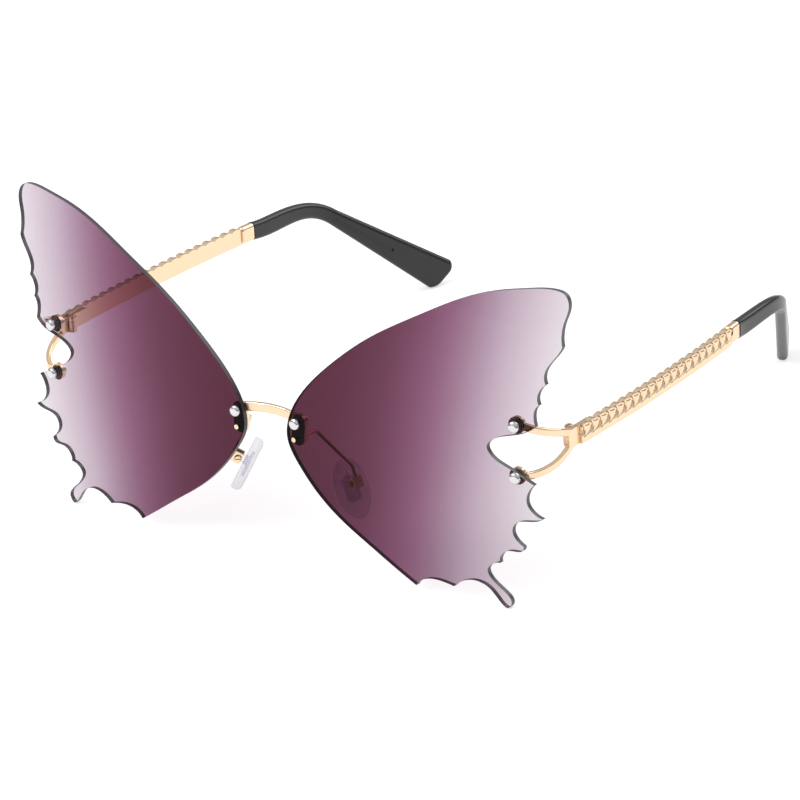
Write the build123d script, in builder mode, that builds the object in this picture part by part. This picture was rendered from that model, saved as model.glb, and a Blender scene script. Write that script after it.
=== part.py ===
from build123d import *
import os
from math import cos, radians, sin, sqrt, tan

# Butterfly sunglasses: two rimless wing lenses on a gilt bridge, forked end pieces and rope
# pattern temples with black tips. Millimetres. +Z is up, the lenses face -Y, the temples run
# to +Y and the wearer's left is +X. The glasses stand on the lens tails and the temple tips.
# Every left hand piece is drawn at +X and mirrored to make its right hand twin.

# General values
OVERRUN = 4.0               # how far a cutting tool passes the piece that it cuts
FIT = 0.03                  # gap round what is seated and does not move
RUN_FIT = 0.05              # radial gap round what turns
FRONT_Y = -70.18            # the lens plane's foot, counted from the origin

# Lenses
LENS_WIDTH = 74.7
LENS_HEIGHT = 79.7
LENS_THICKNESS = 1.3
LENS_RADIUS = 310.0         # front surface, a shallow base curve
LENS_LEAN = 9.0             # degrees that the top leans back
NOSE_GAP = 12.8             # between the two lenses at the nose
CROWN_AT = (15.5, 44.1)     # the foremost point of the front surface, across and up
CROWN_DEPTH = 8.2           # and how far it stands before the lens plane

# Lens outline in strokes, from the hook under the foot over the nose and the top to the
# scallops and back along the tail. Each place is a share of the lens width and height, and
# each stroke starts where the last one ended.
WING_SHARES = [
    (0.463, 0.02), (0.395, 0.061), (0.3, 0.12), (0.2, 0.182), (0.105, 0.26), (0.04, 0.335),
    (0.0, 0.41), (0.012, 0.485), (0.055, 0.555), (0.17, 0.667), (0.335, 0.785), (0.49, 0.867),
    (0.635, 0.936), (0.745, 0.972), (0.86, 0.993), (0.945, 1.0), (0.985, 0.988), (0.998, 0.96),
    (0.985, 0.905), (0.98, 0.868), (0.984, 0.836)]
SCALLOP_SHARES = [
    [(0.984, 0.836), (0.957, 0.795), (0.932, 0.757), (0.934, 0.718)],
    [(0.934, 0.718), (0.915, 0.698), (0.908, 0.675), (0.913, 0.654)],
    [(0.913, 0.654), (0.9, 0.638), (0.897, 0.615), (0.902, 0.588)]]
NOTCH_SHARES = [
    (0.902, 0.588), (0.865, 0.563), (0.81, 0.548), (0.765, 0.533), (0.74, 0.508),
    (0.75, 0.485), (0.81, 0.45), (0.86, 0.425), (0.897, 0.407)]
TAIL_SHARES = [
    [(0.897, 0.407), (0.875, 0.378), (0.871, 0.35), (0.888, 0.322), (0.922, 0.304)],
    [(0.922, 0.304), (0.87, 0.29), (0.83, 0.278), (0.819, 0.253), (0.835, 0.222),
     (0.854, 0.208)],
    [(0.854, 0.208), (0.848, 0.193), (0.8, 0.187), (0.776, 0.17), (0.77, 0.144)],
    [(0.77, 0.144), (0.74, 0.135), (0.725, 0.115), (0.735, 0.09), (0.785, 0.046),
     (0.799, 0.02), (0.787, 0.001), (0.75, 0.029), (0.72, 0.06), (0.68, 0.073), (0.63, 0.062),
     (0.601, 0.041)],
    [(0.601, 0.041), (0.56, 0.05), (0.51, 0.05), (0.48, 0.038), (0.463, 0.02)]]
LENS_STROKES = [WING_SHARES] + SCALLOP_SHARES + [NOTCH_SHARES] + TAIL_SHARES
FOOT_SHARE = (0.787, 0.0)

# Lens fixings: those of the bridge are placed in from the lens's nose edge and up the lens
# plane, those of the end piece by shares as the outline is
BRIDGE_SCREW_IN = 2.4
BRIDGE_SCREW_UP = 36.6
BRIDGE_PIN_IN = 2.1
BRIDGE_PIN_UP = 32.6
TOP_SCREW_SHARE = (0.8313, 0.5784)
LOW_SCREW_SHARE = (0.834, 0.4216)
SHANK_RADIUS = 0.6
SHANK_PROUD = 0.25          # shank that shows behind its nut
HEAD_RADIUS = 1.45
HEAD_HEIGHT = 0.9
HEAD_ROUND = 0.75
BUSH_WALL = 0.25
FLANGE_RADIUS = 1.7
FLANGE_THICKNESS = 0.15
NUT_RADIUS = 1.25
NUT_THICKNESS = 1.0
PIN_RADIUS = 0.6
PIN_PROUD = 0.35

# Bridge
PLATE_THICKNESS = 1.1
PLATE_WIDTH = 3.8
BAR_HEIGHT = 2.3
BAR_THICKNESS = 1.1
BAR_BOW = 0.9               # the bar's middle stands this far behind its ends
BAR_RISE = 0.7              # its ends stand this far above the screws
BAR_ARCH = 0.6              # and its middle this far above its ends
BAR_LAP = 1.1               # how far the bar reaches over each plate
BAR_ROUND = 0.35

# Nose pad arms, whose feet are placed as the bridge's fixings are
ARM_IN = 3.1
ARM_UP = 33.0
ARM_RADIUS = 0.5
ARM_REACH = 4.4             # straight back from the plate
ARM_DROP = 2.6              # straight down into the box
ARM_BEND_RADIUS = 1.3

# Nose pads
PAD_IN = 9.1                # the pad's middle, in from the lens's nose edge,
PAD_BACK = 7.9              # behind the lens foot
PAD_UP = 17.0               # and above the ground
PAD_FLARE = 27.5            # degrees that the pads open downwards
PAD_RAKE = 15.0             # degrees that their tops lean back
PAD_SPLAY = 22.7            # degrees that they open to the back
PAD_LENGTH = 15.0
PAD_WIDTH = 8.4
PAD_THICKNESS = 2.6
PAD_FACE_ROUND = 1.4
PAD_BACK_ROUND = 0.5
INSERT_LENGTH = 6.4
INSERT_WIDTH = 3.4
INSERT_THICKNESS = 0.8
LUG_WIDTH = 1.2
LUG_LENGTH = 2.0
PIVOT_DEPTH = 1.4           # the pad screw's axis behind the pad's back
PIVOT_RISE = 0.8            # and above the pad's middle
BOX_WALL = 0.5
BOX_LENGTH = 2.8
BOX_FRONT = 0.75            # the box's side walls reach this far past the pad screw's axis
BOX_BACK_WALL = 1.0
BOX_GAP = 0.1
PAD_SHANK_RADIUS = 0.4
PAD_HEAD_RADIUS = 0.9
PAD_HEAD_HEIGHT = 0.45
PAD_HEAD_ROUND = 0.25

# End pieces. Each arm runs from its eye through these places, counted across, up and back
# from the eye, to the plate that meets the temple.
EYE_RADIUS = 2.1
EYE_THICKNESS = 1.0
FORK_HEIGHT = 1.9
FORK_THICKNESS = 1.2
FORK_ROUND = 0.4
TOP_FORK = [(3.4, -0.7, 0.9), (5.9, -1.5, 3.1), (7.05, -2.2, 6.0), (7.3, -2.9, 8.6)]
LOW_FORK = [(3.2, 0.6, 1.0), (5.3, 1.6, 3.1), (6.7, 3.1, 5.9), (7.1, 4.8, 8.7)]
FORK_SPREAD = 1.3           # the arms end this far above and below the plate's middle
FORK_SHORT = 0.8            # and this far before the joint
FORK_SECTION_COUNT = 6
BUTT_LENGTH = 3.6           # the plate that meets the temple
BUTT_GAP = 0.12             # between that plate and the open temple

# Temples
TEMPLE_OUT = 7.3            # middle of the flat strip, outside the top screw
TEMPLE_Z = 39.2             # middle height at the hinge
TEMPLE_BACK = 17.6          # front end behind the lens foot
TEMPLE_FALL = 4.5           # degrees that it falls towards the back
TEMPLE_LENGTH = 72.7
TEMPLE_HEIGHT = 4.6
TEMPLE_THICKNESS = 1.2
TEMPLE_TUCK = 2.3           # the back end stands this far inside the front end
TEMPLE_BOW = 1.2            # outward bow between the two
FERRULE_LENGTH = 4.2
FERRULE_HEIGHT = 4.6
FERRULE_THICKNESS = 2.4
FERRULE_ROUND = 1.0
FERRULE_END_ROUND = 0.6

# Rope pattern: a relief on the strip's outside with a scalloped top edge, parted into strands
# by curved gaps. A gap runs through these places, along and up from the notch at its top.
ROPE_START = 0.7            # the first notch behind the front end
ROPE_PITCH = 3.4
ROPE_RELIEF = 0.6           # how far the rope stands out of the strip
SCALLOP_RADIUS = 3.1
GAP_PATH = [(-0.35, 0.75), (0.1, -0.1), (0.75, -0.95), (0.4, -1.9), (-0.9, -2.75), (-2.6, -3.2)]
GAP_WIDTH = 0.34
GAP_DEPTH = 0.5
DIMPLE_AT = (0.5, -1.65)    # the small pit where two strands part
DIMPLE_LENGTH = 1.3
DIMPLE_WIDTH = 0.6
DIMPLE_SLANT = 68.0         # degrees from the temple's length

# Hinges, whose axis stands inside the middle of the gap before the temple
HINGE_INSIDE = 1.8          # from the strip's middle
KNUCKLE_RADIUS = 1.15
END_KNUCKLE = 1.15
MIDDLE_KNUCKLE = 1.4
KNUCKLE_GAP = 0.06
LEAF_THICKNESS = 0.7
FRONT_LEAF = 2.0            # length of the leaf on the end piece
REAR_LEAF = 5.5             # and on the temple
LEAF_HEIGHT = 3.6
HINGE_SHANK_RADIUS = 0.5
HINGE_HEAD_RADIUS = 0.95
HINGE_HEAD_HEIGHT = 0.35
HINGE_HEAD_ROUND = 0.2
SLOT_WIDTH = 0.3            # of the small screws' heads
SLOT_DEPTH = 0.2

# Temple tips, placed along, above and inside the temple's end
TIP_KNEE = (24.0, -0.75, 2.15)
TIP_END = (55.3, -28.22, 21.45)
TIP_BEND_RADIUS = 17.0
TIP_GAP = 0.2
CORE_RADIUS = 0.6
CORE_REACH_SHARE = 0.6      # how far the core follows the tip's lower run
CORE_SPARE = 0.5            # bore left beyond the core's end
# Widths and thicknesses along the path; from the bend's end the tip widens evenly
TIP_START_SIZE = (4.7, 2.7)
TIP_NECK_SIZE = (4.4, 2.7)
TIP_BEND_SIZE = (4.1, 2.8)
TIP_PADDLE_SIZE = (9.4, 2.8)
TIP_TWIST = 16.0            # degrees that the bend turns the tip's broad side in
TIP_CORNER_SHARE = 0.42     # corner radius as a share of the thickness
TIP_END_SLANT = 2.3         # the end's lower corner lies this far back from the upper one
TIP_LOW_CORNER = 4.0
TIP_TOP_CORNER = 2.6
TIP_END_ROUND = 1.1
GROOVE_SHARE = 0.255        # the groove's middle along the lower run
GROOVE_LENGTH = 20.0
GROOVE_WIDTH = 0.9
GROOVE_DEPTH = 0.4
GROOVE_DROP = 0.25          # below the tip's middle line

# The lens plane: x across, y up the lens and z out to the front
lean = radians(LENS_LEAN)
shell_centre_depth = CROWN_DEPTH - LENS_RADIUS


def front_depth(across, up):
    """How far the lens's front surface stands before the lens plane."""
    away = (across - CROWN_AT[0]) ** 2 + (up - CROWN_AT[1]) ** 2
    return shell_centre_depth + sqrt(LENS_RADIUS ** 2 - away)


def lens_place(shares):
    """A place of the outline, across and up the lens plane."""
    return (NOSE_GAP / 2 + shares[0] * LENS_WIDTH, shares[1] * LENS_HEIGHT)


nose_edge = NOSE_GAP / 2
bridge_screw_at = (nose_edge + BRIDGE_SCREW_IN, BRIDGE_SCREW_UP)
bridge_pin_at = (nose_edge + BRIDGE_PIN_IN, BRIDGE_PIN_UP)
top_screw_at = lens_place(TOP_SCREW_SHARE)
low_screw_at = lens_place(LOW_SCREW_SHARE)
foot_rise = (LENS_THICKNESS - front_depth(*lens_place(FOOT_SHARE))) * sin(lean)
lens_plane = Plane(origin=(0, FRONT_Y, foot_rise), x_dir=(1, 0, 0), z_dir=(0, -cos(lean), sin(lean)))
shell_centre = lens_plane.from_local_coords(Vector(CROWN_AT[0], CROWN_AT[1], shell_centre_depth))


def lens_seat(place, depth=0):
    """Plane square to the lens at a place, this far behind its front surface."""
    front = lens_plane.from_local_coords(Vector(place[0], place[1], front_depth(*place)))
    outward = (front - shell_centre).normalized()
    sideways = lens_plane.y_dir.cross(outward).normalized()
    return Plane(origin=front - outward * depth, x_dir=sideways, z_dir=outward)


# What lies behind each lens, from its back: flange, plate and nut
flange_depth = LENS_THICKNESS + FIT
plate_depth = flange_depth + FLANGE_THICKNESS
bridge_nut_depth = plate_depth + PLATE_THICKNESS
end_nut_depth = plate_depth + EYE_THICKNESS
shank_bore = SHANK_RADIUS + FIT
bush_radius = shank_bore + BUSH_WALL
end_screws_at = (top_screw_at, low_screw_at)


def disc_stack(seat, outer, thickness, bore):
    """A flat ring behind a seat."""
    with BuildPart() as ring:
        with BuildSketch(seat):
            Circle(outer)
            Circle(bore, mode=Mode.SUBTRACT)
        extrude(amount=-thickness)
    return ring.part


def round_screw(seat, head_radius, head_height, head_round, shank_radius, grip, slot_depth=0):
    """A round headed screw on a seat, slotted or plain, with its shank reaching behind it."""
    with BuildPart() as screw:
        with BuildSketch(seat):
            Circle(head_radius)
        extrude(amount=head_height)
        fillet(screw.edges().sort_by(Axis(seat.origin, seat.z_dir))[-1], head_round)
        with BuildSketch(seat):
            Circle(shank_radius)
        extrude(amount=-grip)
        if slot_depth:
            with BuildSketch(seat.offset(head_height - slot_depth)):
                Rectangle(3 * head_radius, SLOT_WIDTH)
            extrude(amount=slot_depth + OVERRUN, mode=Mode.SUBTRACT)
    return screw.part


def lens_screw(place, nut_depth):
    """One of the domed screws that hold a lens."""
    grip = nut_depth + NUT_THICKNESS + SHANK_PROUD
    return round_screw(lens_seat(place), HEAD_RADIUS, HEAD_HEIGHT, HEAD_ROUND, SHANK_RADIUS, grip)


def lens_nut(place, nut_depth):
    """The nut of a lens screw."""
    return disc_stack(lens_seat(place, nut_depth), NUT_RADIUS, NUT_THICKNESS, shank_bore)


def lens_bush(place):
    """The clear sleeve of a lens screw, with its flange behind the lens."""
    with BuildPart() as bush:
        with BuildSketch(lens_seat(place, FIT)):
            Circle(bush_radius)
            Circle(shank_bore, mode=Mode.SUBTRACT)
        extrude(amount=-(plate_depth - FIT))
        with BuildSketch(lens_seat(place, flange_depth)):
            Circle(FLANGE_RADIUS)
            Circle(shank_bore, mode=Mode.SUBTRACT)
        extrude(amount=-FLANGE_THICKNESS)
    return bush.part


# Lenses: the outline's prism cut to the shell between two spheres, then drilled
with BuildPart() as lens_left:
    with BuildSketch(lens_plane.offset(-(CROWN_DEPTH + OVERRUN))):
        with BuildLine():
            for stroke in LENS_STROKES:
                Spline(*[lens_place(place) for place in stroke])
        make_face()
    extrude(amount=2 * (CROWN_DEPTH + OVERRUN))
    with Locations(shell_centre):
        Sphere(LENS_RADIUS, mode=Mode.INTERSECT)
        Sphere(LENS_RADIUS - LENS_THICKNESS, mode=Mode.SUBTRACT)
    for place in (bridge_screw_at, top_screw_at, low_screw_at):
        with Locations(lens_seat(place)):
            Cylinder(bush_radius + FIT, 2 * OVERRUN, mode=Mode.SUBTRACT)
    with Locations(lens_seat(bridge_pin_at)):
        Cylinder(PIN_RADIUS + FIT, 2 * OVERRUN, mode=Mode.SUBTRACT)

with BuildPart() as lens_right:
    mirror(lens_left.part, about=Plane.YZ)

# Screws, nuts and bushes of the lenses
with BuildPart() as bridge_screws:
    add(lens_screw(bridge_screw_at, bridge_nut_depth))
    mirror(about=Plane.YZ)

with BuildPart() as bridge_nuts:
    add(lens_nut(bridge_screw_at, bridge_nut_depth))
    mirror(about=Plane.YZ)

with BuildPart() as end_piece_screws:
    for place in end_screws_at:
        add(lens_screw(place, end_nut_depth))
    mirror(about=Plane.YZ)

with BuildPart() as end_piece_nuts:
    for place in end_screws_at:
        add(lens_nut(place, end_nut_depth))
    mirror(about=Plane.YZ)

with BuildPart() as lens_bushes:
    for place in (bridge_screw_at, top_screw_at, low_screw_at):
        add(lens_bush(place))
    mirror(about=Plane.YZ)

# Bridge: a plate behind each lens with its pin through the lens, and the bowed bar between
bridge_plate = lens_seat(bridge_screw_at, plate_depth)
pin_seat = lens_seat(bridge_pin_at)
pin_on_plate = bridge_plate.to_local_coords(pin_seat.origin)
bar_depth = front_depth(*bridge_screw_at) - plate_depth - BAR_THICKNESS / 2
bar_half = bridge_screw_at[0] - PLATE_WIDTH / 2 + BAR_LAP
bar_up = bridge_screw_at[1] + BAR_RISE
bar_ends = [lens_plane.from_local_coords(Vector(side * bar_half, bar_up, bar_depth)) for side in (-1, 1)]
bar_middle = lens_plane.from_local_coords(Vector(0, bar_up + BAR_ARCH, bar_depth - BAR_BOW))

with BuildPart() as bridge:
    with BuildSketch(bridge_plate):
        Circle(PLATE_WIDTH / 2)
        with Locations((pin_on_plate.X, pin_on_plate.Y)):
            Circle(PLATE_WIDTH / 2)
        make_hull()
    extrude(amount=-PLATE_THICKNESS)
    with BuildSketch(pin_seat.offset(PIN_PROUD)):
        Circle(PIN_RADIUS)
    extrude(amount=-(PIN_PROUD + plate_depth + PLATE_THICKNESS / 2))
    mirror(about=Plane.YZ)
    with BuildLine() as bar_line:
        ThreePointArc(bar_ends[0], bar_middle, bar_ends[1])
    with BuildSketch(Plane(origin=bar_line.line @ 0, x_dir=lens_plane.y_dir, z_dir=bar_line.line % 0)):
        RectangleRounded(BAR_HEIGHT, BAR_THICKNESS, BAR_ROUND)
    sweep()
    for side in (-1, 1):
        seat = lens_seat(bridge_screw_at)
        nut_seat = lens_seat(bridge_screw_at, bridge_nut_depth)
        if side < 0:
            seat = Plane(origin=Vector(-seat.origin.X, seat.origin.Y, seat.origin.Z),
                         z_dir=Vector(-seat.z_dir.X, seat.z_dir.Y, seat.z_dir.Z))
            nut_seat = seat.offset(-bridge_nut_depth)
        with Locations(seat):
            Cylinder(shank_bore, 2 * (bridge_nut_depth + OVERRUN), mode=Mode.SUBTRACT)
        with Locations(nut_seat):
            Cylinder(NUT_RADIUS + FIT, OVERRUN, align=(Align.CENTER, Align.CENTER, Align.MAX),
                     mode=Mode.SUBTRACT)

# The pad's own plane: x to the front, y up along the pad and z to the nose
pad_up = Vector(-tan(radians(PAD_FLARE)), tan(radians(PAD_RAKE)), 1).normalized()
pad_front = Vector(-sin(radians(PAD_SPLAY)), -cos(radians(PAD_SPLAY)), 0)
pad_normal = pad_front.cross(pad_up).normalized()
pad_origin = Vector(nose_edge + PAD_IN, FRONT_Y + PAD_BACK, PAD_UP)
pad_plane = Plane(origin=pad_origin, x_dir=pad_up.cross(pad_normal), z_dir=pad_normal)
pivot_drop = PAD_THICKNESS / 2 + PIVOT_DEPTH
pivot_plane = Plane(origin=pad_plane.from_local_coords(Vector(0, PIVOT_RISE, -pivot_drop)),
                    x_dir=pad_plane.x_dir, z_dir=pad_plane.z_dir)
box_half = LUG_WIDTH / 2 + BOX_GAP + BOX_WALL
slot_floor = LUG_LENGTH / 2 + BOX_GAP
box_back = slot_floor + BOX_BACK_WALL


def insert_shape(gap):
    """The pad's inner plate with its lug, or with a gap the room that it needs."""
    with BuildPart() as shape:
        with BuildSketch(pad_plane.offset(-(INSERT_THICKNESS / 2 + gap))):
            RectangleRounded(INSERT_WIDTH + 2 * gap, INSERT_LENGTH + 2 * gap,
                             INSERT_WIDTH / 3)
        extrude(amount=INSERT_THICKNESS + 2 * gap)
        side = Plane(origin=pivot_plane.origin, x_dir=pivot_plane.y_dir, z_dir=pivot_plane.x_dir)
        with BuildSketch(side.offset(-(LUG_WIDTH / 2 + gap))):
            Circle(LUG_LENGTH / 2 + gap)
            with Locations((0, pivot_drop / 2)):
                Rectangle(LUG_LENGTH + 2 * gap, pivot_drop)
        extrude(amount=LUG_WIDTH + 2 * gap)
    return shape.part


with BuildPart() as nose_pad_left:
    with BuildSketch(pad_plane.offset(-PAD_THICKNESS / 2)):
        Ellipse(PAD_WIDTH / 2, PAD_LENGTH / 2)
    extrude(amount=PAD_THICKNESS)
    rims = nose_pad_left.edges().filter_by(GeomType.ELLIPSE).sort_by(Axis(pad_plane.origin, pad_plane.z_dir))
    fillet(rims[-1], PAD_FACE_ROUND)
    rims = nose_pad_left.edges().filter_by(GeomType.ELLIPSE).sort_by(Axis(pad_plane.origin, pad_plane.z_dir))
    fillet(rims[0], PAD_BACK_ROUND)
    add(insert_shape(FIT), mode=Mode.SUBTRACT)

with BuildPart() as nose_pad_right:
    mirror(nose_pad_left.part, about=Plane.YZ)

with BuildPart() as pad_insert_left:
    add(insert_shape(0))
    with Locations(Plane(origin=pivot_plane.origin, z_dir=pivot_plane.x_dir)):
        Cylinder(PAD_SHANK_RADIUS + RUN_FIT, 2 * OVERRUN, mode=Mode.SUBTRACT)

with BuildPart() as pad_insert_right:
    mirror(pad_insert_left.part, about=Plane.YZ)

with BuildPart() as pad_box_left:
    with BuildSketch(pivot_plane.offset(-box_back)):
        Rectangle(2 * box_half, BOX_LENGTH)
    extrude(amount=box_back + BOX_FRONT)
    with BuildSketch(pivot_plane.offset(-slot_floor)):
        Rectangle(LUG_WIDTH + 2 * BOX_GAP, BOX_LENGTH + 2 * OVERRUN)
    extrude(amount=slot_floor + BOX_FRONT + OVERRUN, mode=Mode.SUBTRACT)
    with Locations(Plane(origin=pivot_plane.origin, z_dir=pivot_plane.x_dir)):
        Cylinder(PAD_SHANK_RADIUS + FIT, 2 * OVERRUN, mode=Mode.SUBTRACT)

with BuildPart() as pad_box_right:
    mirror(pad_box_left.part, about=Plane.YZ)

with BuildPart() as pad_screw_left:
    pad_screw_seat = Plane(origin=pivot_plane.origin + pivot_plane.x_dir * box_half,
                           z_dir=pivot_plane.x_dir)
    add(round_screw(pad_screw_seat, PAD_HEAD_RADIUS, PAD_HEAD_HEIGHT, PAD_HEAD_ROUND,
                    PAD_SHANK_RADIUS, 2 * box_half, SLOT_DEPTH))

with BuildPart() as pad_screw_right:
    mirror(pad_screw_left.part, about=Plane.YZ)

# Nose pad arms: wire from the bridge plate back and down into the top of the box
arm_on_plate = bridge_plate.to_local_coords(lens_seat((nose_edge + ARM_IN, ARM_UP)).origin)
arm_foot = bridge_plate.from_local_coords(Vector(arm_on_plate.X, arm_on_plate.Y, -(PLATE_THICKNESS + FIT)))
arm_box = pivot_plane.from_local_coords(
    Vector(0, BOX_LENGTH / 2 + FIT, -(slot_floor + BOX_BACK_WALL / 2)))

with BuildPart() as nose_pad_arm_left:
    with BuildLine() as arm_line:
        FilletPolyline(arm_foot, arm_foot - bridge_plate.z_dir * ARM_REACH,
                       arm_box + pivot_plane.y_dir * ARM_DROP, arm_box, radius=ARM_BEND_RADIUS)
    with BuildSketch(Plane(origin=arm_line.line @ 0, z_dir=arm_line.line % 0)):
        Circle(ARM_RADIUS)
    sweep()

with BuildPart() as nose_pad_arm_right:
    mirror(nose_pad_arm_left.part, about=Plane.YZ)

# The temple's plane: x along the temple, y to the inside and z up it
fall = radians(TEMPLE_FALL)
temple_across = top_screw_at[0] + TEMPLE_OUT
temple_start = Vector(temple_across, FRONT_Y + TEMPLE_BACK, TEMPLE_Z)
temple_plane = Plane(origin=temple_start, x_dir=(0, cos(fall), -sin(fall)), z_dir=(0, sin(fall), cos(fall)))
temple_side = Plane(origin=temple_start, x_dir=temple_plane.x_dir, z_dir=(1, 0, 0))
butt_plane = Plane(origin=temple_start, x_dir=(1, 0, 0), z_dir=temple_plane.x_dir)


def fork_arm(eye_at, places, rise):
    """One of the end piece's arms, lofted along its middle line from its eye to the plate."""
    seat = lens_seat(eye_at, plate_depth + EYE_THICKNESS / 2)
    eye = Vector(eye_at[0], eye_at[1], lens_plane.to_local_coords(seat.origin).Z)
    route = [lens_plane.from_local_coords(eye + Vector(out, over, -back)) for out, over, back in places]
    end = temple_plane.from_local_coords(Vector(-FORK_SHORT, 0, rise))
    with BuildLine() as line:
        Spline(seat.origin, *route, end, tangents=(seat.x_dir, (end - route[-1]).normalized()))
    middle = line.edge()
    with BuildPart() as arm:
        for count in range(FORK_SECTION_COUNT):
            place = count / (FORK_SECTION_COUNT - 1)
            along = middle % place
            side = lens_plane.y_dir.cross(along)
            with BuildSketch(Plane(origin=middle @ place, x_dir=along.cross(side), z_dir=along)):
                RectangleRounded(FORK_HEIGHT, FORK_THICKNESS, FORK_ROUND)
        loft()
    return arm.part


# End piece: an eye behind each screw, the two arms and the plate
with BuildPart() as end_piece_left:
    with BuildSketch(temple_side.offset(-FORK_THICKNESS / 2)):
        with Locations((-BUTT_GAP, 0)):
            Rectangle(BUTT_LENGTH, TEMPLE_HEIGHT, align=(Align.MAX, Align.CENTER))
    extrude(amount=FORK_THICKNESS)
    for place in end_screws_at:
        with BuildSketch(lens_seat(place, plate_depth)):
            Circle(EYE_RADIUS)
        extrude(amount=-EYE_THICKNESS)
    for place, places, rise in ((top_screw_at, TOP_FORK, FORK_SPREAD),
                                (low_screw_at, LOW_FORK, -FORK_SPREAD)):
        add(fork_arm(place, places, rise))
    for place in end_screws_at:
        with Locations(lens_seat(place, plate_depth)):
            Cylinder(EYE_RADIUS + FORK_THICKNESS, OVERRUN, align=(Align.CENTER, Align.CENTER, Align.MIN),
                     mode=Mode.SUBTRACT)
        with Locations(lens_seat(place, end_nut_depth)):
            Cylinder(NUT_RADIUS + FIT, OVERRUN, align=(Align.CENTER, Align.CENTER, Align.MAX),
                     mode=Mode.SUBTRACT)
        with Locations(lens_seat(place)):
            Cylinder(shank_bore, 2 * (end_nut_depth + OVERRUN), mode=Mode.SUBTRACT)

with BuildPart() as end_piece_right:
    mirror(end_piece_left.part, about=Plane.YZ)

# Hinges: x along the temple, y to the inside and z up the pin, from the pin's middle
hinge_plane = Plane(origin=temple_plane.from_local_coords(Vector(-BUTT_GAP / 2, HINGE_INSIDE, 0)),
                    x_dir=temple_plane.x_dir, z_dir=temple_plane.z_dir)
leaf_face = max(FORK_THICKNESS, TEMPLE_THICKNESS) / 2 + RUN_FIT - HINGE_INSIDE
knuckle_step = MIDDLE_KNUCKLE / 2 + KNUCKLE_GAP
barrel_half = knuckle_step + END_KNUCKLE
leaf_start = KNUCKLE_RADIUS + 2 * RUN_FIT

with BuildPart() as hinge_front_left:
    for foot in (-barrel_half, knuckle_step):
        with BuildSketch(hinge_plane.offset(foot)):
            Circle(KNUCKLE_RADIUS)
            with Locations((0, leaf_face)):
                Rectangle(leaf_start + LEAF_THICKNESS, LEAF_THICKNESS, align=(Align.MAX, Align.MIN))
        extrude(amount=END_KNUCKLE)
    with BuildSketch(hinge_plane.offset(-LEAF_HEIGHT / 2)):
        with Locations((-leaf_start, leaf_face)):
            Rectangle(FRONT_LEAF, LEAF_THICKNESS, align=(Align.MAX, Align.MIN))
    extrude(amount=LEAF_HEIGHT)
    with Locations(hinge_plane):
        Cylinder(HINGE_SHANK_RADIUS + FIT, 2 * (barrel_half + OVERRUN), mode=Mode.SUBTRACT)

with BuildPart() as hinge_front_right:
    mirror(hinge_front_left.part, about=Plane.YZ)

with BuildPart() as hinge_rear_left:
    with BuildSketch(hinge_plane.offset(-MIDDLE_KNUCKLE / 2)):
        Circle(KNUCKLE_RADIUS)
        with Locations((0, leaf_face)):
            Rectangle(leaf_start + LEAF_THICKNESS, LEAF_THICKNESS, align=(Align.MIN, Align.MIN))
    extrude(amount=MIDDLE_KNUCKLE)
    with BuildSketch(hinge_plane.offset(-LEAF_HEIGHT / 2)):
        with Locations((leaf_start, leaf_face)):
            Rectangle(REAR_LEAF, LEAF_THICKNESS, align=(Align.MIN, Align.MIN))
    extrude(amount=LEAF_HEIGHT)
    with Locations(hinge_plane):
        Cylinder(HINGE_SHANK_RADIUS + RUN_FIT, 2 * (barrel_half + OVERRUN), mode=Mode.SUBTRACT)

with BuildPart() as hinge_rear_right:
    mirror(hinge_rear_left.part, about=Plane.YZ)

with BuildPart() as hinge_screw_left:
    add(round_screw(hinge_plane.offset(barrel_half), HINGE_HEAD_RADIUS, HINGE_HEAD_HEIGHT,
                    HINGE_HEAD_ROUND, HINGE_SHANK_RADIUS, 2 * barrel_half, SLOT_DEPTH))

with BuildPart() as hinge_screw_right:
    mirror(hinge_screw_left.part, about=Plane.YZ)

# The temple's bowed middle line, drawn in the temple's plane
temple_places = [(0, 0), (TEMPLE_LENGTH / 2, TEMPLE_TUCK / 2 - TEMPLE_BOW), (TEMPLE_LENGTH, TEMPLE_TUCK)]
with BuildLine(temple_plane) as temple_line:
    ThreePointArc(*temple_places)
temple_curve = temple_line.edge()
rope_length = TEMPLE_LENGTH - FERRULE_LENGTH - ROPE_START
rope_count = round(rope_length / ROPE_PITCH)
rope_step = rope_length / rope_count
rope_face = TEMPLE_THICKNESS / 2 + ROPE_RELIEF

# The tip's path and the core's, from the temple's end
end_along = temple_curve % 1
end_inside = temple_plane.z_dir.cross(end_along)
end_plane = Plane(origin=temple_curve @ 1, x_dir=temple_plane.x_dir, z_dir=temple_plane.z_dir)


def tip_point(along, above, inside):
    """A place of the tip, counted from the temple's end."""
    return end_plane.from_local_coords(Vector(along, inside, above))


tip_start = tip_point(TIP_GAP, 0, 0)
tip_knee = tip_point(*TIP_KNEE)
tip_end = tip_point(*TIP_END)
lower_run = tip_end - tip_knee
core_end = tip_knee + lower_run * CORE_REACH_SHARE
bore_end = core_end + lower_run.normalized() * CORE_SPARE

# Temple: bowed strip and rope relief with a scalloped top, gaps, ferrule and core
with BuildPart() as scalloped:
    with BuildSketch(temple_side.offset(-OVERRUN)):
        with Locations(*[(ROPE_START + (count + 0.5) * rope_step, TEMPLE_HEIGHT / 2 - SCALLOP_RADIUS)
                         for count in range(rope_count)]):
            Circle(SCALLOP_RADIUS)
        with Locations((ROPE_START + rope_length / 2, 0)):
            Rectangle(rope_length, TEMPLE_HEIGHT, mode=Mode.INTERSECT)
    extrude(amount=2 * OVERRUN)

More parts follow.
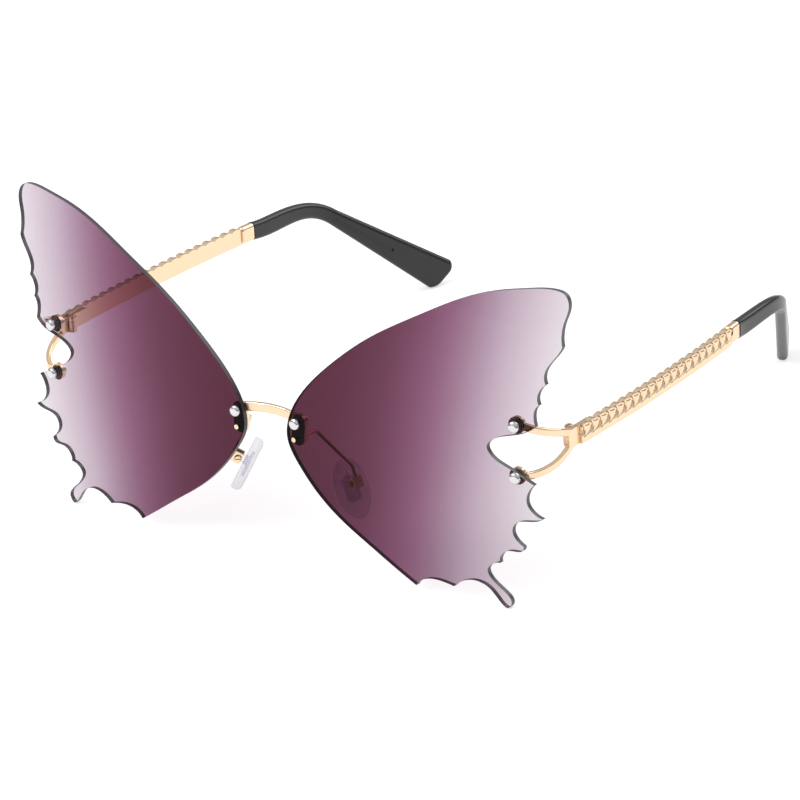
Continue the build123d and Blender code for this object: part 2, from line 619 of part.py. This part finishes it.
with BuildPart() as rope_gap:
    with BuildSketch(Plane.XY.offset(-GAP_DEPTH)):
        with BuildLine():
            Spline(*GAP_PATH)
        trace(line_width=GAP_WIDTH)
        with Locations(DIMPLE_AT):
            Ellipse(DIMPLE_LENGTH / 2, DIMPLE_WIDTH / 2, rotation=DIMPLE_SLANT)
    extrude(amount=GAP_DEPTH + OVERRUN)

with BuildPart() as ferrule:
    with BuildSketch(Plane(origin=temple_curve @ 1, x_dir=temple_plane.z_dir, z_dir=-end_along)):
        RectangleRounded(FERRULE_HEIGHT, FERRULE_THICKNESS, FERRULE_ROUND)
    extrude(amount=FERRULE_LENGTH)
    front_face = ferrule.faces().sort_by(Axis(temple_curve @ 1, -end_along))[-1]
    fillet(front_face.edges(), FERRULE_END_ROUND)

with BuildPart() as temple_left:
    with BuildSketch(temple_plane.offset(-TEMPLE_HEIGHT / 2)):
        with BuildLine():
            ThreePointArc(*temple_places)
        trace(line_width=TEMPLE_THICKNESS)
        with BuildLine():
            ThreePointArc(*[(along, inside - ROPE_RELIEF) for along, inside in temple_places])
        trace(line_width=TEMPLE_THICKNESS)
    extrude(amount=TEMPLE_HEIGHT)
    add(scalloped.part, mode=Mode.INTERSECT)
    with BuildSketch(temple_plane.offset(-TEMPLE_HEIGHT / 2)):
        with BuildLine():
            ThreePointArc(*temple_places)
        trace(line_width=TEMPLE_THICKNESS)
        with Locations((ROPE_START + rope_step, 0)):
            Rectangle(TEMPLE_LENGTH, 2 * OVERRUN, align=(Align.MIN, Align.CENTER), mode=Mode.SUBTRACT)
    extrude(amount=TEMPLE_HEIGHT)
    add(ferrule.part)
    for count in range(rope_count + 1):
        place = (ROPE_START + count * rope_step) / temple_curve.length
        tangent = temple_curve % place
        outward = tangent.cross(temple_plane.z_dir)
        notch = (temple_curve @ place) + outward * rope_face + temple_plane.z_dir * (TEMPLE_HEIGHT / 2)
        with Locations(Plane(origin=notch, x_dir=tangent, z_dir=outward)):
            add(rope_gap.part, mode=Mode.SUBTRACT)
    with BuildLine() as core_line:
        FilletPolyline(temple_curve @ 1 - end_along * (FERRULE_LENGTH / 2), tip_knee, core_end,
                       radius=TIP_BEND_RADIUS)
    with BuildSketch(Plane(origin=core_line.line @ 0, z_dir=core_line.line % 0)):
        Circle(CORE_RADIUS)
    sweep()

with BuildPart() as temple_right:
    mirror(temple_left.part, about=Plane.YZ)

# Tip: sections lofted along the path, the core's blind bore and the groove inside
with BuildLine() as tip_line:
    FilletPolyline(tip_start, tip_knee, tip_end, radius=TIP_BEND_RADIUS)
upper_run, bend, low_run = tip_line.edges().sort_by(lambda run: (run.center() - tip_start).length)


def tip_section(run, place, twist=TIP_TWIST):
    """Plane across a run of the tip's path, its x along the broad side."""
    along = run % place
    level = Vector(1, 0, 0).cross(along).normalized()
    turn = radians(twist)
    broad = level * cos(turn) + level.cross(along) * sin(turn)
    return Plane(origin=run @ place, x_dir=broad, z_dir=along)


end_section = tip_section(low_run, 1)
tip_broad = Plane(origin=end_section.origin, x_dir=end_section.z_dir, z_dir=end_section.y_dir)
paddle_half = TIP_PADDLE_SIZE[0] / 2 + FIT
groove_section = tip_section(low_run, GROOVE_SHARE)
groove_middle = groove_section.from_local_coords(Vector(-GROOVE_DROP, -TIP_BEND_SIZE[1] / 2, 0))
groove_plane = Plane(origin=groove_middle, x_dir=groove_section.z_dir, z_dir=-groove_section.y_dir)

with BuildSketch() as end_outline:
    with BuildLine():
        Polyline((-TIP_PADDLE_SIZE[0] * 2, -paddle_half), (-TIP_END_SLANT, -paddle_half), (0, paddle_half),
                 (-TIP_PADDLE_SIZE[0] * 2, paddle_half), close=True)
    make_face()
    fillet(end_outline.vertices().sort_by(Axis.X)[-1], TIP_TOP_CORNER)
    fillet(end_outline.vertices().sort_by(Axis.Y)[:2].sort_by(Axis.X)[-1], TIP_LOW_CORNER)

with BuildPart() as end_blank:
    with BuildSketch(tip_broad.offset(-(TIP_PADDLE_SIZE[1] / 2 + FIT))):
        add(end_outline.sketch)
    extrude(amount=TIP_PADDLE_SIZE[1] + 2 * FIT)
    broad_faces = end_blank.faces().sort_by(Axis(tip_broad.origin, tip_broad.z_dir))
    fillet(broad_faces[0].edges() + broad_faces[-1].edges(), TIP_END_ROUND)

with BuildPart() as end_trim:
    with BuildSketch(tip_broad.offset(-OVERRUN)):
        with Locations((-paddle_half - TIP_END_SLANT, 0)):
            Rectangle(2 * paddle_half + OVERRUN, 2 * (paddle_half + OVERRUN),
                      align=(Align.MIN, Align.CENTER))
    extrude(amount=2 * OVERRUN)
    add(end_blank.part, mode=Mode.SUBTRACT)

with BuildPart() as temple_tip_left:
    for section, (width, thick) in ((tip_section(upper_run, 0, 0), TIP_START_SIZE),
                                    (tip_section(bend, 0, 0), TIP_NECK_SIZE),
                                    (tip_section(bend, 0.5, TIP_TWIST / 2), TIP_BEND_SIZE),
                                    (tip_section(bend, 1), TIP_BEND_SIZE)):
        with BuildSketch(section):
            RectangleRounded(width, thick, thick * TIP_CORNER_SHARE)
    loft()
    for place, (width, thick) in ((0, TIP_BEND_SIZE), (1, TIP_PADDLE_SIZE)):
        with BuildSketch(tip_section(low_run, place)):
            RectangleRounded(width, thick, thick * TIP_CORNER_SHARE)
    loft(ruled=True)
    add(end_trim.part, mode=Mode.SUBTRACT)
    with BuildSketch(groove_plane.offset(OVERRUN)):
        SlotOverall(GROOVE_LENGTH, GROOVE_WIDTH)
    extrude(amount=-(OVERRUN + GROOVE_DEPTH), mode=Mode.SUBTRACT)
    with BuildLine() as bore_line:
        FilletPolyline(temple_curve @ 1 - end_along * (FERRULE_LENGTH / 2), tip_knee, bore_end,
                       radius=TIP_BEND_RADIUS)
    with BuildSketch(Plane(origin=bore_line.line @ 0, z_dir=bore_line.line % 0)):
        Circle(CORE_RADIUS + FIT)
    sweep(mode=Mode.SUBTRACT)

with BuildPart() as temple_tip_right:
    mirror(temple_tip_left.part, about=Plane.YZ)

os.makedirs("parts", exist_ok=True)

lens_left.part.label = "lens_left"
export_step(lens_left.part, "parts/lens_left.step")

lens_right.part.label = "lens_right"
export_step(lens_right.part, "parts/lens_right.step")

bridge.part.label = "bridge"
export_step(bridge.part, "parts/bridge.step")

bridge_screws.part.label = "bridge_screws"
export_step(bridge_screws.part, "parts/bridge_screws.step")

bridge_nuts.part.label = "bridge_nuts"
export_step(bridge_nuts.part, "parts/bridge_nuts.step")

end_piece_screws.part.label = "end_piece_screws"
export_step(end_piece_screws.part, "parts/end_piece_screws.step")

end_piece_nuts.part.label = "end_piece_nuts"
export_step(end_piece_nuts.part, "parts/end_piece_nuts.step")

lens_bushes.part.label = "lens_bushes"
export_step(lens_bushes.part, "parts/lens_bushes.step")

nose_pad_arm_left.part.label = "nose_pad_arm_left"
export_step(nose_pad_arm_left.part, "parts/nose_pad_arm_left.step")

nose_pad_arm_right.part.label = "nose_pad_arm_right"
export_step(nose_pad_arm_right.part, "parts/nose_pad_arm_right.step")

pad_box_left.part.label = "pad_box_left"
export_step(pad_box_left.part, "parts/pad_box_left.step")

pad_box_right.part.label = "pad_box_right"
export_step(pad_box_right.part, "parts/pad_box_right.step")

nose_pad_left.part.label = "nose_pad_left"
export_step(nose_pad_left.part, "parts/nose_pad_left.step")

nose_pad_right.part.label = "nose_pad_right"
export_step(nose_pad_right.part, "parts/nose_pad_right.step")

pad_insert_left.part.label = "pad_insert_left"
export_step(pad_insert_left.part, "parts/pad_insert_left.step")

pad_insert_right.part.label = "pad_insert_right"
export_step(pad_insert_right.part, "parts/pad_insert_right.step")

pad_screw_left.part.label = "pad_screw_left"
export_step(pad_screw_left.part, "parts/pad_screw_left.step")

pad_screw_right.part.label = "pad_screw_right"
export_step(pad_screw_right.part, "parts/pad_screw_right.step")

end_piece_left.part.label = "end_piece_left"
export_step(end_piece_left.part, "parts/end_piece_left.step")

end_piece_right.part.label = "end_piece_right"
export_step(end_piece_right.part, "parts/end_piece_right.step")

hinge_front_left.part.label = "hinge_front_left"
export_step(hinge_front_left.part, "parts/hinge_front_left.step")

hinge_front_right.part.label = "hinge_front_right"
export_step(hinge_front_right.part, "parts/hinge_front_right.step")

hinge_rear_left.part.label = "hinge_rear_left"
export_step(hinge_rear_left.part, "parts/hinge_rear_left.step")

hinge_rear_right.part.label = "hinge_rear_right"
export_step(hinge_rear_right.part, "parts/hinge_rear_right.step")

hinge_screw_left.part.label = "hinge_screw_left"
export_step(hinge_screw_left.part, "parts/hinge_screw_left.step")

hinge_screw_right.part.label = "hinge_screw_right"
export_step(hinge_screw_right.part, "parts/hinge_screw_right.step")

temple_left.part.label = "temple_left"
export_step(temple_left.part, "parts/temple_left.step")

temple_right.part.label = "temple_right"
export_step(temple_right.part, "parts/temple_right.step")

temple_tip_left.part.label = "temple_tip_left"
export_step(temple_tip_left.part, "parts/temple_tip_left.step")

temple_tip_right.part.label = "temple_tip_right"
export_step(temple_tip_right.part, "parts/temple_tip_right.step")
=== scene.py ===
from math import cos, radians, sin

import bpy
import numpy as np
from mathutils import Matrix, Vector


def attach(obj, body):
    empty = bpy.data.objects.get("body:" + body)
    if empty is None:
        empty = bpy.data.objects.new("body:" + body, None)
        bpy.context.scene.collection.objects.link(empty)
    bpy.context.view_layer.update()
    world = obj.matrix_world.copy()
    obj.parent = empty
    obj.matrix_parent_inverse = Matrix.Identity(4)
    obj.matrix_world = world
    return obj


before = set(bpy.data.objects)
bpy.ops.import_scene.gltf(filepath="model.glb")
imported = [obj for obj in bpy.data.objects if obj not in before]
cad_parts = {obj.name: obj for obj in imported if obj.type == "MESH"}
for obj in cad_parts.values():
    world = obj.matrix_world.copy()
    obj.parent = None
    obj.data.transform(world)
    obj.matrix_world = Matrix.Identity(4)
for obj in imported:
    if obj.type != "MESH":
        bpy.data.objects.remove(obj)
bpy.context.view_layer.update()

# Butterfly sunglasses on a white table: a dyed wing lens each side of a gilt bridge, forked gilt
# end pieces, rope pattern temples and black tips. Metres, in the frame of the solids.
MM = 0.001


# ---------------------------------------------------------------- colours and shader helpers

def colour(code):
    """Linear red, green, blue and alpha of an sRGB hex code."""
    parts = [int(code[start:start + 2], 16) / 255 for start in (1, 3, 5)]
    return tuple(p / 12.92 if p <= 0.04045 else ((p + 0.055) / 1.055) ** 2.4 for p in parts) + (1.0,)


def add_node(tree, kind, inputs=None, **settings):
    """A shader node with its settings; each input is a value, or a socket to link from."""
    made = tree.nodes.new("ShaderNode" + kind)
    for name, value in settings.items():
        setattr(made, name, value)
    for name, value in (inputs or {}).items():
        if isinstance(value, bpy.types.NodeSocket):
            tree.links.new(value, made.inputs[name])
        else:
            made.inputs[name].default_value = value
    return made


def new_material(name):
    """An empty material and the node that its finished shader goes to."""
    made = bpy.data.materials.new(name)
    made.use_nodes = True
    made.node_tree.nodes.clear()
    return made, add_node(made.node_tree, "OutputMaterial")


def set_stops(ramp, stops):
    """Give a colour ramp its stops, each a place from 0 to 1 and a hex code."""
    while len(ramp.elements) < len(stops):
        ramp.elements.new(1.0)
    for element, (place, code) in zip(ramp.elements, stops):
        element.position = place
        element.color = colour(code)


# ---------------------------------------------------------------- materials

def dyed_polycarbonate():
    """Polycarbonate sun lens, cast clear and dip dyed: plum at the nose that fades to a pale
    lilac grey at the wing's edge, with polished faces and a ground, darker edge."""
    made, output = new_material("dyed_polycarbonate")
    tree = made.node_tree
    place = add_node(tree, "TexCoord")
    axes = add_node(tree, "SeparateXYZ", {0: place.outputs["Object"]})
    across = add_node(tree, "Math", {0: axes.outputs["X"]}, operation="ABSOLUTE")
    # the dye line leans: for each millimetre down the lens it comes this much nearer the nose
    dye_lean = 0.19
    full_dye, least_dye = 3.6 * MM, 73.6 * MM
    leant = add_node(tree, "Math", {0: axes.outputs["Z"], 1: -dye_lean, 2: across.outputs[0]},
                     operation="MULTIPLY_ADD")
    share = add_node(tree, "MapRange", {"Value": leant.outputs[0], "From Min": full_dye,
                                        "From Max": least_dye})
    # both faces together pass these colours over white, so each face passes their square root
    dye = add_node(tree, "ValToRGB", {0: share.outputs[0]})
    set_stops(dye.color_ramp, [
        (0.0, "#552A3B"), (0.14, "#5A2E42"), (0.29, "#65394E"), (0.36, "#6F435B"), (0.43, "#7B4E67"),
        (0.5, "#875D77"), (0.57, "#957388"), (0.64, "#A58B9E"), (0.71, "#B6A2B1"), (0.83, "#CBBEC8"),
        (0.91, "#D6CFD5"), (1.0, "#DEDADF")])
    face_tint = add_node(tree, "Gamma", {"Color": dye.outputs["Color"], "Gamma": 0.5})
    body = add_node(tree, "BsdfTransparent", {"Color": face_tint.outputs[0]})
    # each face mirrors a little square on and fully at a glance
    mirror_square_on, mirror_rise = 0.008, 5.0
    polish = add_node(tree, "BsdfGlossy", {"Color": colour("#FFFFFF"), "Roughness": 0.03})
    glance = add_node(tree, "LayerWeight", {"Blend": 0.5})
    steep = add_node(tree, "Math", {0: glance.outputs["Facing"], 1: mirror_rise}, operation="POWER")
    mirror = add_node(tree, "MapRange", {"Value": steep.outputs[0], "To Min": mirror_square_on,
                                         "To Max": 1.0})
    faces = add_node(tree, "MixShader", {0: mirror.outputs[0], 1: body.outputs[0], 2: polish.outputs[0]})
    # the ground edge, dark where the dye is dark
    edge_dye = add_node(tree, "ValToRGB", {0: share.outputs[0]})
    set_stops(edge_dye.color_ramp, [(0.0, "#1C171A"), (0.35, "#2E272C"), (0.7, "#4C484F"), (1.0, "#605E64")])
    ground = add_node(tree, "BsdfPrincipled", {"Base Color": edge_dye.outputs["Color"], "Roughness": 0.35,
                                               "IOR": 1.58})
    # the edge is what turns far from the way the lens faces, which leans back
    lean_back = radians(9.0)
    edge_below = 0.6
    facing = add_node(tree, "VectorMath", {0: place.outputs["Normal"],
                                           1: (0.0, -cos(lean_back), sin(lean_back))},
                      operation="DOT_PRODUCT")
    square_on = add_node(tree, "Math", {0: facing.outputs["Value"]}, operation="ABSOLUTE")
    is_edge = add_node(tree, "Math", {0: square_on.outputs[0], 1: edge_below}, operation="LESS_THAN")
    lens = add_node(tree, "MixShader", {0: is_edge.outputs[0], 1: faces.outputs[0], 2: ground.outputs[0]})
    tree.links.new(lens.outputs[0], output.inputs["Surface"])
    return made


def gilt_metal():
    """Gilded copper alloy, stamped and polished: a pale champagne mirror, with painted shade that turns it
    brown in its folds and gaps, and the faint unevenness of a plated surface."""
    made, output = new_material("gilded_copper_alloy")
    tree = made.node_tree
    place = add_node(tree, "TexCoord")
    # plating waves of 2 mm; a plated grain is finer than 0.25 mm and is drawn so that it shows
    wave, grain_size, grain_height = 2.0 * MM, 0.25 * MM, 0.03 * MM
    waves = add_node(tree, "TexNoise", {"Vector": place.outputs["Object"], "Scale": 1 / wave,
                                        "Detail": 2.0})
    grain = add_node(tree, "TexNoise", {"Vector": place.outputs["Object"], "Scale": 1 / grain_size,
                                        "Detail": 1.0})
    polish = add_node(tree, "MapRange", {"Value": waves.outputs["Fac"], "To Min": 0.17, "To Max": 0.29})
    # painted shade: folds and gaps of about half a millimetre hold less light, so occlusion darkens their
    # colour towards brown
    fold_reach = 0.6 * MM
    painted_fold_shade = add_node(tree, "AmbientOcclusion", {"Distance": fold_reach}, samples=8)
    # painted shade ramp: dark brown where occluded, the metal's own champagne in the open
    tone = add_node(tree, "ValToRGB", {0: painted_fold_shade.outputs["AO"]})
    set_stops(tone.color_ramp, [(0.0, "#5E401C"), (0.35, "#B48A60"), (0.85, "#F4D8B6")])
    bump = add_node(tree, "Bump", {"Height": grain.outputs["Fac"], "Strength": 0.06,
                                   "Distance": grain_height})
    metal = add_node(tree, "BsdfPrincipled", {
        "Base Color": tone.outputs["Color"], "Metallic": 1.0, "Roughness": polish.outputs[0],
        "Normal": bump.outputs[0]})
    tree.links.new(metal.outputs[0], output.inputs["Surface"])
    return made


def nickel_steel():
    """Turned steel screws, nickel plated: a cold bright mirror with small wear marks."""
    made, output = new_material("nickel_plated_steel")
    tree = made.node_tree
    place = add_node(tree, "TexCoord")
    mark = 0.4 * MM
    marks = add_node(tree, "TexNoise", {"Vector": place.outputs["Object"], "Scale": 1 / mark,
                                        "Detail": 2.0})
    polish = add_node(tree, "MapRange", {"Value": marks.outputs["Fac"], "To Min": 0.08, "To Max": 0.2})
    metal = add_node(tree, "BsdfPrincipled", {"Base Color": colour("#D9D8DA"), "Metallic": 1.0,
                                              "Roughness": polish.outputs[0]})
    tree.links.new(metal.outputs[0], output.inputs["Surface"])
    return made


def moulded_tip():
    """Black nylon tips, injection moulded in a polished tool: a charcoal gloss with a barely
    uneven skin."""
    made, output = new_material("moulded_black_nylon")
    tree = made.node_tree
    place = add_node(tree, "TexCoord")
    # flow marks 5 mm long and a skin texture of about 0.3 mm
    flow_mark, skin_mark, skin_height = 5.0 * MM, 0.3 * MM, 0.03 * MM
    flow = add_node(tree, "TexNoise", {"Vector": place.outputs["Object"], "Scale": 1 / flow_mark,
                                       "Detail": 2.0})
    skin = add_node(tree, "TexNoise", {"Vector": place.outputs["Object"], "Scale": 1 / skin_mark,
                                       "Detail": 2.0})
    polish = add_node(tree, "MapRange", {"Value": flow.outputs["Fac"], "To Min": 0.16, "To Max": 0.3})
    tone = add_node(tree, "ValToRGB", {0: flow.outputs["Fac"]})
    set_stops(tone.color_ramp, [(0.3, "#1F2022"), (0.7, "#252628")])
    bump = add_node(tree, "Bump", {"Height": skin.outputs["Fac"], "Strength": 0.05,
                                   "Distance": skin_height})
    nylon = add_node(tree, "BsdfPrincipled", {
        "Base Color": tone.outputs["Color"], "Roughness": polish.outputs[0], "Normal": bump.outputs[0]})
    tree.links.new(nylon.outputs[0], output.inputs["Surface"])
    return made


def clear_moulding(name, through, cloudy, clearness, roughness):
    """A clear moulding, cast in a polished tool: clearer where it is seen square on and milky
    towards its outline, with faint clouds."""
    made, output = new_material(name)
    tree = made.node_tree
    place = add_node(tree, "TexCoord")
    cloud_size = 2.0 * MM
    cloud = add_node(tree, "TexNoise", {"Vector": place.outputs["Object"], "Scale": 1 / cloud_size,
                                        "Detail": 2.0})
    tone = add_node(tree, "ValToRGB", {0: cloud.outputs["Fac"]})
    set_stops(tone.color_ramp, [(0.3, cloudy), (0.7, through)])
    open_part = add_node(tree, "BsdfTransparent", {"Color": colour(through)})
    skin = add_node(tree, "BsdfPrincipled", {"Base Color": tone.outputs["Color"], "Roughness": roughness,
                                             "IOR": 1.41})
    # light that enters the far side comes out here, spread
    spread_share = 0.55
    glow = add_node(tree, "BsdfTranslucent", {"Color": tone.outputs["Color"]})
    skin = add_node(tree, "MixShader", {0: spread_share, 1: skin.outputs[0], 2: glow.outputs[0]})
    outline = add_node(tree, "LayerWeight", {"Blend": 0.35})
    milky = add_node(tree, "MapRange", {"Value": outline.outputs["Facing"], "To Min": 1 - clearness,
                                        "To Max": 1 - clearness / 2})
    mixed = add_node(tree, "MixShader", {0: milky.outputs[0], 1: open_part.outputs[0], 2: skin.outputs[0]})
    tree.links.new(mixed.outputs[0], output.inputs["Surface"])
    return made


lens_stuff = dyed_polycarbonate()
gilt = gilt_metal()
steel = nickel_steel()
nylon = moulded_tip()
# soft silicone pads, and the hard clear plates in them and sleeves in the lens holes
silicone = clear_moulding("clear_silicone", "#FDFDFF", "#F6F8FF", clearness=0.8, roughness=0.3)
sleeve = clear_moulding("clear_polycarbonate", "#FDFDFF", "#F8F9FE", clearness=0.94, roughness=0.1)

# what each piece is made of; a left and a right piece share the name without its side
materials_by_piece = {
    "lens": lens_stuff, "bridge_screws": steel, "bridge_nuts": steel, "bridge": gilt,
    "end_piece_screws": steel, "end_piece_nuts": steel, "end_piece": gilt, "lens_bushes": sleeve,
    "nose_pad_arm": gilt, "pad_box": gilt, "nose_pad": silicone, "pad_insert": sleeve, "pad_screw": gilt,
    "hinge_front": gilt, "hinge_rear": gilt, "hinge_screw": gilt, "temple": gilt, "temple_tip": nylon}

for name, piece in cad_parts.items():
    stuff = materials_by_piece.get(name) or materials_by_piece[name.rsplit("_", 1)[0]]
    for part in (piece if isinstance(piece, (list, tuple)) else [piece]):
        part.data.materials.clear()
        part.data.materials.append(stuff)


# ---------------------------------------------------------------- rope strands of the temples

def rounded(share):
    """Height of a quarter round, sqrt(1 - (1 - q)^2), at a share q of its width, at most 1."""
    return np.sqrt(1 - (1 - np.clip(share, 0.0, 1.0)) ** 2)


def quads(grid):
    """Quads of a grid of vertex numbers, one ring for each cell."""
    return np.stack([grid[:-1, :-1], grid[:-1, 1:], grid[1:, 1:], grid[1:, :-1]], -1).reshape(-1, 4)


def closed_shell(name, outer, inner, mirrored, material):
    """One closed mesh between two grids of points of the same shape, joined round their rims.
    The outer grid's rings face out, and on the mirrored side of the glasses they run the other way."""
    rows, columns = outer.shape[:2]
    number = np.arange(2 * rows * columns).reshape(2, rows, columns)
    rim = np.concatenate([number[:, :, 0], number[:, -1, 1:], number[:, ::-1, -1][:, 1:],
                          number[:, 0, ::-1][:, 1:]], axis=1)
    rings = np.concatenate([quads(number[0]), quads(number[1])[:, ::-1], quads(rim.T)[:, ::-1]])
    if mirrored:
        rings = rings[:, ::-1]
    points = np.stack([outer, inner]).reshape(-1, 3)
    mesh = bpy.data.meshes.new(name)
    mesh.from_pydata(points.tolist(), [], rings.tolist())
    mesh.polygons.foreach_set("use_smooth", np.ones(len(rings), dtype=bool))
    mesh.materials.append(material)
    made = bpy.data.objects.new(name, mesh)
    bpy.context.scene.collection.objects.link(made)
    return made


def rope_strands(name, side):
    """The twisted strands on a temple's outer face: one closed shell over (s, v), s back along the
    temple and v down from its scalloped top to the smooth hem. Sizes in millimetres.

    Its face stands sunk + rise * r(t) * r(v / top) * r((1 - v) / foot) * r(end / tail) off the flat
    of the strands, where r is the quarter round, t goes from 0 at a curved gap to 1 midway to the
    next and end is the distance to the rope's nearer end. Its back is flat, under the gaps' floors."""
    # the temple's front end and its axes: back along it, which falls a little, up it and inwards
    fall = radians(4.5)
    front = np.array([75.798, -52.58, 39.2])
    back_axis = np.array([0.0, cos(fall), -sin(fall)])
    up_axis = np.array([0.0, sin(fall), cos(fall)])
    in_axis = np.array([-1.0, 0.0, 0.0])
    half_height, flat_out = 2.3, 1.2
    rope_start, rope_length, strand_count = 0.7, 67.8, 20
    strand = rope_length / strand_count
    scallop_radius, below_scallop, hem = 3.1, 0.06, 3.3
    sunk, back_sunk, rise = -0.54, -0.57, 0.86
    top, foot, tail = 0.3, 0.2, 0.8

    # bow of the middle line: 0.05 mm out at half its length and 2.3 mm in at the back
    length, halfway_in, back_in = 72.7, -0.05, 2.3
    flat = np.linspace(0.0, length, 800)
    bow = np.polynomial.Polynomial.fit([0.0, length / 2, length], [0.0, halfway_in, back_in], 2)
    walked = np.concatenate([[0.0], np.cumsum(np.hypot(np.diff(flat), np.diff(bow(flat))))])

    # a gap's curve: how far back it lies at depths below the top edge
    gap_depths, gap_places = [0.1, 0.95, 1.9, 2.75, 3.2], [0.1, 0.75, 0.4, -0.9, -2.6]
    gap_back = np.polynomial.Polynomial.fit(gap_depths, gap_places, 4)

    steps_per_strand, steps_down = 24, 28
    s, v = np.meshgrid(np.linspace(0.0, rope_length, strand_count * steps_per_strand + 1),
                       np.linspace(0.0, 1.0, steps_down + 1), indexing="ij")
    from_crown = (s / strand) % 1.0 * strand - strand / 2
    start = scallop_radius - np.sqrt(scallop_radius ** 2 - from_crown ** 2) + below_scallop
    depth = start + v * (hem - start)
    t = 1 - np.abs(2 * (((s - gap_back(depth)) / strand) % 1.0) - 1)
    end = np.minimum(s, rope_length - s)
    lift = sunk + rise * rounded(t) * rounded(v / top) * rounded((1 - v) / foot) * rounded(end / tail)

    x = np.interp(s + rope_start, walked, flat)
    lean = bow.deriv()(x)
    out_along, out_across = lean / np.hypot(lean, 1.0), -1.0 / np.hypot(lean, 1.0)

    def place(off):
        """Points of the frame at a distance off the flat of the strands."""
        along, inside = x + (flat_out + off) * out_along, bow(x) + (flat_out + off) * out_across
        points = (front + along[..., None] * back_axis + inside[..., None] * in_axis
                  + (half_height - depth)[..., None] * up_axis)
        return points * (side * MM, MM, MM)

    return closed_shell(name, place(lift), place(np.full_like(lift, back_sunk)), side < 0, gilt)


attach(rope_strands("rope_strands_left", 1), "temple_left")
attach(rope_strands("rope_strands_right", -1), "temple_right")


# ---------------------------------------------------------------- table, light and camera

def table_top():
    """A plain white table: matt, and lifted to full white for the camera and for reflections."""
    made, output = new_material("white_table")
    tree = made.node_tree
    lift_strength = 0.55
    matt = add_node(tree, "BsdfDiffuse", {"Color": colour("#CFCFCF")})
    ray = add_node(tree, "LightPath")
    seen = add_node(tree, "Math", {0: ray.outputs["Is Camera Ray"], 1: ray.outputs["Is Glossy Ray"]},
                    operation="MAXIMUM")
    seen = add_node(tree, "Math", {0: seen.outputs[0], 1: ray.outputs["Is Transmission Ray"]},
                    operation="MAXIMUM")
    lift = add_node(tree, "Math", {0: seen.outputs[0], 1: lift_strength}, operation="MULTIPLY")
    glow = add_node(tree, "Emission", {"Color": colour("#FFFFFF"), "Strength": lift.outputs[0]})
    both = add_node(tree, "AddShader", {0: matt.outputs[0], 1: glow.outputs[0]})
    tree.links.new(both.outputs[0], output.inputs["Surface"])
    return made


def soft_room():
    """A soft white room: bright overhead, dimmer at the walls, plain white where the camera sees it."""
    world = bpy.data.worlds.new("studio")
    bpy.context.scene.world = world
    world.use_nodes = True
    sky = world.node_tree
    sky.nodes.clear()
    direction = add_node(sky, "TexCoord")
    height = add_node(sky, "SeparateXYZ", {0: direction.outputs["Generated"]})
    walls = add_node(sky, "ValToRGB", {0: height.outputs["Z"]})
    set_stops(walls.color_ramp, [(0.0, "#6E6E6E"), (0.12, "#9C9C9C"), (0.3, "#D2D2D2"), (0.6, "#F4F4F4")])
    soft = add_node(sky, "Background", {"Color": walls.outputs["Color"], "Strength": 0.75})
    white = add_node(sky, "Background", {"Color": colour("#FFFFFF"), "Strength": 1.0})
    ray = add_node(sky, "LightPath")
    shown = add_node(sky, "MixShader", {0: ray.outputs["Is Camera Ray"], 1: soft.outputs[0],
                                        2: white.outputs[0]})
    output = add_node(sky, "OutputWorld")
    sky.links.new(shown.outputs[0], output.inputs["Surface"])


def soft_lamp(name, place, aim, size, watts):
    """A square soft lamp at a place, turned to an aim."""
    lamp = bpy.data.lights.new(name, "AREA")
    lamp.size = size
    lamp.energy = watts
    made = bpy.data.objects.new(name, lamp)
    bpy.context.scene.collection.objects.link(made)
    made.location = place
    made.rotation_mode = "QUATERNION"
    made.rotation_quaternion = (Vector(aim) - Vector(place)).to_track_quat("-Z", "Y")


table_width = 30.0
bpy.ops.mesh.primitive_plane_add(size=table_width)
table = bpy.context.object
table.name = "table"
table.data.materials.append(table_top())

soft_room()
glasses_middle = (0.0, 0.0, 0.03)
soft_lamp("key_lamp", (-0.5, -0.7, 1.1), glasses_middle, size=0.9, watts=9.0)
soft_lamp("back_lamp", (0.4, 1.0, 0.9), glasses_middle, size=0.9, watts=5.0)

# a long lens from the front left of the wearer, a little above, rolled as in the photograph
camera_data = bpy.data.cameras.new("camera")
camera_data.sensor_width = 36.0
camera_data.lens = 242.75
camera_data.clip_start = 0.05
camera_data.clip_end = 60.0
camera = bpy.data.objects.new("camera", camera_data)
camera.location = (0.7341, -0.9590, 0.5958)
camera.rotation_euler = (radians(63.999), radians(5.724), radians(35.233))
bpy.context.scene.collection.objects.link(camera)
bpy.context.scene.camera = camera

bpy.context.scene.view_settings.view_transform = "Standard"
